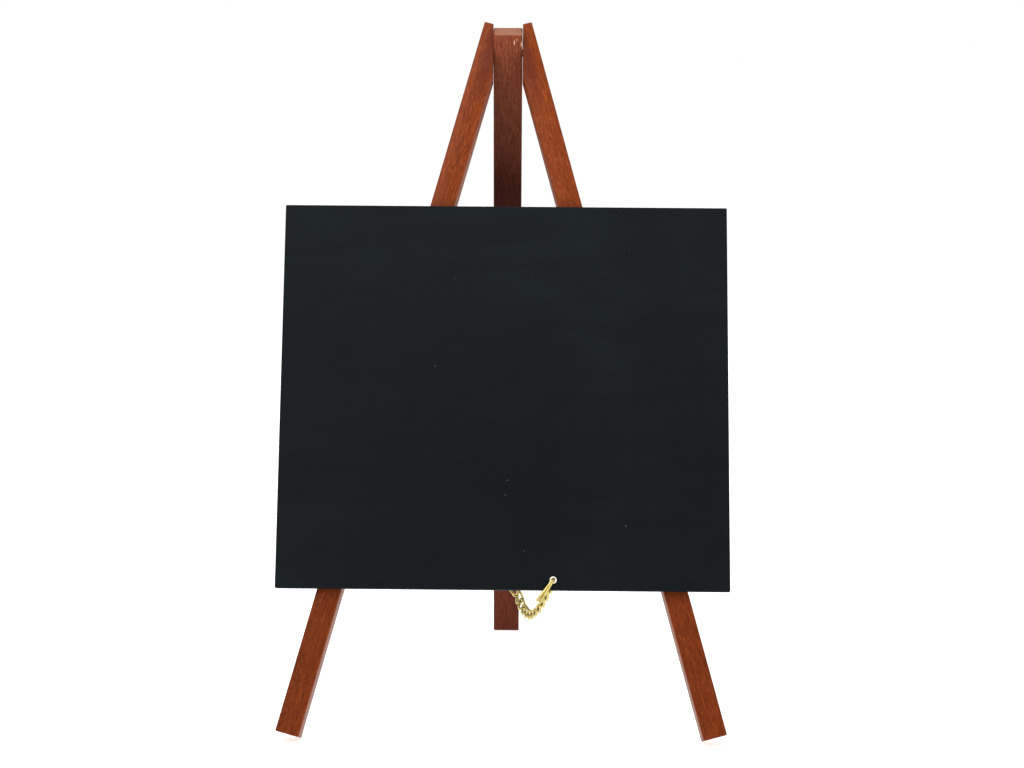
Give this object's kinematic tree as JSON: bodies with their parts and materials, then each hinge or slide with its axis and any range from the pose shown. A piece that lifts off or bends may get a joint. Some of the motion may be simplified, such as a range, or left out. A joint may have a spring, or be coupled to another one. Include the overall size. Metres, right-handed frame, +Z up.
{
  "type": "menu chalkboard easel",
  "caption": "Small table-top menu chalkboard on a folding wooden tripod easel with a slack brass stay chain.",
  "frame": {"origin": "on the table, at the middle of the easel's footprint, in the pictured open stance", "axes": "+Z up; the chalkboard faces -Y and the rear leg stands out towards +Y; +X is to the right for someone reading the board"},
  "size_m": [0.15, 0.1696, 0.2369],
  "materials": {
    "leg_wood": "red-brown stain under satin varnish",
    "chalkboard_paint": "matt chalkboard paint on thin board",
    "brass": "bright",
    "brass_plate": "bright plated",
    "steel": "zinc plated"
  },
  "bodies": {
    "front_frame": {"front_leg_left": "leg_wood", "front_leg_right": "leg_wood", "chalkboard_panel": "chalkboard_paint", "board_screw_1": "steel", "board_screw_2": "steel", "board_screw_3": "steel", "board_screw_4": "steel", "hinge_pin": "steel", "chain_split_pin": "brass", "split_pin_washer": "brass_plate"},
    "rear_frame": {"rear_leg": "leg_wood", "rear_screw_eye": "brass"},
    "chain_front": {"chain_link_01": "brass", "chain_link_02": "brass", "chain_link_03": "brass", "chain_link_04": "brass", "chain_link_05": "brass", "chain_link_06": "brass", "chain_link_07": "brass", "chain_link_08": "brass", "chain_link_09": "brass", "chain_link_10": "brass", "chain_link_11": "brass"},
    "chain_rear": {"chain_link_12": "brass", "chain_link_13": "brass", "chain_link_14": "brass", "chain_link_15": "brass", "chain_link_16": "brass", "chain_link_17": "brass", "chain_link_18": "brass", "chain_link_19": "brass", "chain_link_20": "brass", "chain_link_21": "brass", "chain_link_22": "brass", "chain_link_23": "brass", "chain_link_24": "brass", "chain_link_25": "brass", "chain_link_26": "brass", "chain_link_27": "brass", "chain_link_28": "brass", "chain_link_29": "brass", "chain_link_30": "brass", "chain_link_31": "brass", "chain_link_32": "brass"}
  },
  "joints": [
    {"name": "rear_leg_fold", "type": "hinge", "parent": "front_frame", "child": "rear_frame", "pos_m": [0, -0.0065, 0.22618], "axis": [-1, 0, 0], "range_deg": [0, 39.4]},
    {"name": "chain_front_swing", "type": "hinge", "parent": "front_frame", "child": "chain_front", "pos_m": [0.0167, -0.06559, 0.05128], "axis": [-0.9181, -0.3214, -0.232], "range_deg": [0, 31.1]},
    {"name": "chain_rear_swing", "type": "hinge", "parent": "rear_frame", "child": "chain_rear", "pos_m": [0.0079, 0.03257, 0.12366], "axis": [0.9985, -0.0512, -0.0209], "range_deg": [0, 72.7]}
  ],
  "couplings": [
    {"joint": "chain_front_swing", "follows": "rear_leg_fold", "ratio": 0.787},
    {"joint": "chain_rear_swing", "follows": "rear_leg_fold", "ratio": 1.8431}
  ]
}
